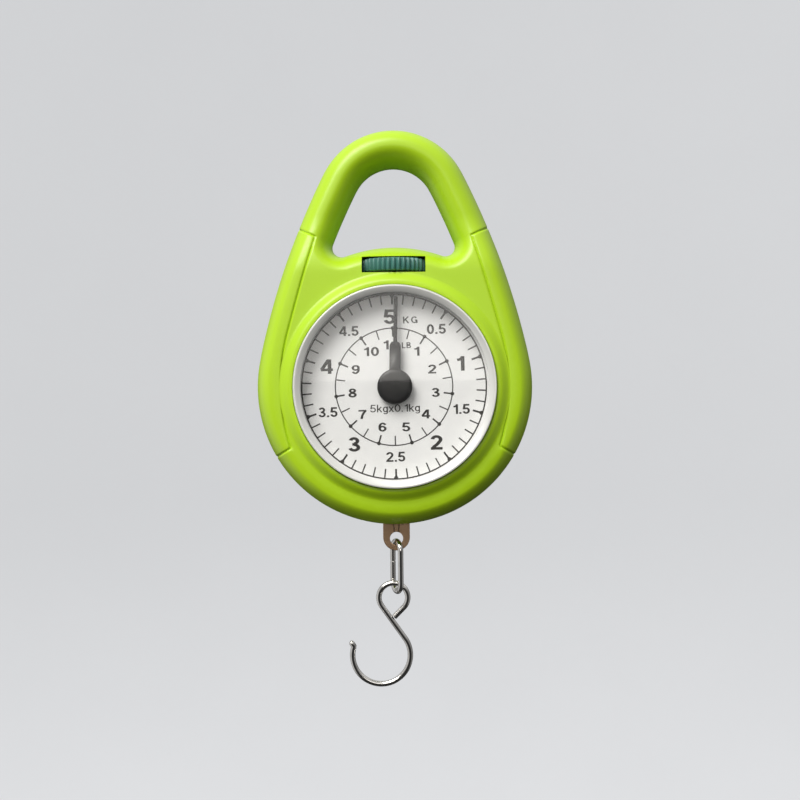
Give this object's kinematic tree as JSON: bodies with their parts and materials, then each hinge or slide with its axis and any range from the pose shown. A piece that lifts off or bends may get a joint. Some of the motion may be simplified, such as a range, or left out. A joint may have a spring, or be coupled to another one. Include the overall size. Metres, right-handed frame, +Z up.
{
  "type": "hanging spring scale",
  "caption": "Hand-held hanging spring scale: egg-shaped case with a loop handle, round glazed dial with pointer, zero thumb wheel, load bar, link and S-hook.",
  "frame": {"origin": "the hang point: the inside top of the handle loop, where the two halves of the case meet", "axes": "+Z up with the scale hanging, -Y out of the dial towards the reader, +X to the reader's right"},
  "size_m": [0.101, 0.0334, 0.2043],
  "materials": {
    "lime_case": "satin gloss moulded lime green",
    "clear_lens": "clear polished plastic",
    "silver_trim": "silvered ring",
    "dial_card": "matt white printed sheet",
    "black_plastic": "matt black",
    "teal_plastic": "ribbed satin",
    "nickel_steel": "nickel plated, slightly worn",
    "zinc_steel": "zinc plated pressed sheet",
    "spring_steel": "oiled spring wire",
    "brass": "turned or stamped",
    "white_nylon": "natural nylon"
  },
  "bodies": {
    "housing": {"front_shell": "lime_case", "rear_shell": "lime_case", "bezel_ring": "silver_trim", "lens": "clear_lens", "dial_plate": "dial_card", "dial_post_low": "brass", "dial_post_top": "brass", "case_screw_low_left": "zinc_steel", "case_screw_low_right": "zinc_steel", "case_screw_mid_left": "zinc_steel", "case_screw_mid_right": "zinc_steel", "case_screw_handle": "zinc_steel", "movement_front_plate": "zinc_steel", "movement_back_plate": "zinc_steel", "spindle_front_bush": "brass", "spindle_rear_bush": "brass", "pillar_low_left": "brass", "pillar_low_right": "brass", "pillar_top_left": "brass", "pillar_top_right": "brass", "frame_screw_low_left": "zinc_steel", "frame_screw_low_right": "zinc_steel", "frame_screw_top_left": "zinc_steel", "frame_screw_top_right": "zinc_steel", "wheel_seat": "white_nylon", "bar_guide": "white_nylon", "rack_guide": "brass", "spring_left": "spring_steel", "spring_right": "spring_steel"},
    "carriage": {"load_bar": "nickel_steel", "lower_yoke": "zinc_steel", "rack": "brass", "bar_rivet_left": "zinc_steel", "bar_rivet_right": "zinc_steel", "rack_rivet": "zinc_steel"},
    "pointer_group": {"pointer": "black_plastic", "spindle": "zinc_steel", "pinion": "brass"},
    "zero_adjuster": {"zero_wheel": "teal_plastic", "zero_screw": "zinc_steel"},
    "crosshead": {"upper_crosshead": "zinc_steel"},
    "link": {"link": "nickel_steel"},
    "s_hook": {"s_hook": "nickel_steel"}
  },
  "joints": [
    {"name": "load_slide", "type": "slide", "parent": "housing", "child": "carriage", "axis": [0, 0, -1], "range_m": [0, 0.01885], "stiffness_N_per_m": 2600, "deforming": ["spring_left", "spring_right"]},
    {"name": "pointer_spin", "type": "hinge", "parent": "housing", "child": "pointer_group", "pos_m": [0, -0.003, -0.08085], "axis": [0, 1, 0], "range_deg": [0, 360.1]},
    {"name": "zero_turn", "type": "hinge", "parent": "housing", "child": "zero_adjuster", "pos_m": [0, -0.003, -0.03705], "axis": [0, 0, 1], "range_deg": [-540, 540]},
    {"name": "crosshead_slide", "type": "slide", "parent": "housing", "child": "crosshead", "axis": [0, 0, 1], "range_m": [-0.00106, 0.00106]},
    {"name": "link_swing", "type": "hinge", "parent": "carriage", "child": "link", "pos_m": [0, -0.003, -0.13745], "axis": [0, 1, 0], "range_deg": [-70, 70]},
    {"name": "hook_tilt", "type": "hinge", "parent": "link", "child": "s_hook", "pos_m": [0.0001, -0.003, -0.15305], "axis": [1, 0, 0], "range_deg": [-37, 37]}
  ],
  "couplings": [
    {"joint": "pointer_spin", "follows": "load_slide", "rad_per_m": 333.33},
    {"joint": "crosshead_slide", "follows": "zero_turn", "m_per_rad": 0.00011141}
  ]
}
